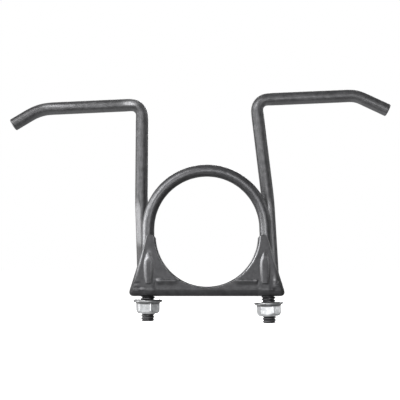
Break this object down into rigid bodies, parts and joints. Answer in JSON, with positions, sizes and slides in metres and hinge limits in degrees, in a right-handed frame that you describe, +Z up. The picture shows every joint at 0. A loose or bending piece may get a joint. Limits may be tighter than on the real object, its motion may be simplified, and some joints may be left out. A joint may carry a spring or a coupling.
{
  "type": "exhaust saddle clamp with hanger rods",
  "caption": "U-bolt saddle clamp for an exhaust pipe, with bent round hanger rods welded behind its pressed steel saddle and hex flange nuts on its threaded legs.",
  "frame": {"origin": "centre of the clamped pipe, on the middle plane of the saddle", "axes": "+Z up from the saddle towards the U-bolt's bend, +Y along the pipe towards the rods, +X towards the right-hand rod as seen from the front (-Y)"},
  "size_m": [0.2897, 0.0336, 0.1748],
  "materials": {
    "saddle_steel": "dark bare mill-scale steel, pressed, with lighter scuffed folds",
    "bolt_steel": "dark bare steel wire with rolled threads",
    "rod_steel": "dark bare mill-scale steel rod, scuffed at its bends",
    "nut_zinc": "bright zinc plating, slightly satin",
    "weld_steel": "rippled weld bead, heat-tinted grey"
  },
  "bodies": {
    "saddle_and_rods": {"saddle": "saddle_steel", "left_hanger_rod": "rod_steel", "right_hanger_rod": "rod_steel", "left_rod_inner_weld": "weld_steel", "left_rod_outer_weld": "weld_steel", "right_rod_inner_weld": "weld_steel", "right_rod_outer_weld": "weld_steel"},
    "u_bolt": {"u_bolt": "bolt_steel"},
    "left_nut": {"left_flange_nut": "nut_zinc"},
    "right_nut": {"right_flange_nut": "nut_zinc"}
  },
  "joints": [
    {"name": "clamp_draw", "type": "slide", "parent": "saddle_and_rods", "child": "u_bolt", "axis": [0, 0, 1], "range_m": [-0.0046, 0.005]},
    {"name": "left_nut_turn", "type": "hinge", "parent": "saddle_and_rods", "child": "left_nut", "pos_m": [-0.043, 0, -0.04695], "axis": [0, 0, 1], "range_deg": [-905, 835]},
    {"name": "right_nut_turn", "type": "hinge", "parent": "saddle_and_rods", "child": "right_nut", "pos_m": [0.04495, 0, -0.0487], "axis": [-0.0366, 0, 0.9993], "range_deg": [-905, 835]}
  ],
  "couplings": [
    {"joint": "left_nut_turn", "follows": "clamp_draw", "rad_per_m": -3141.6},
    {"joint": "right_nut_turn", "follows": "clamp_draw", "rad_per_m": -3139.5}
  ]
}
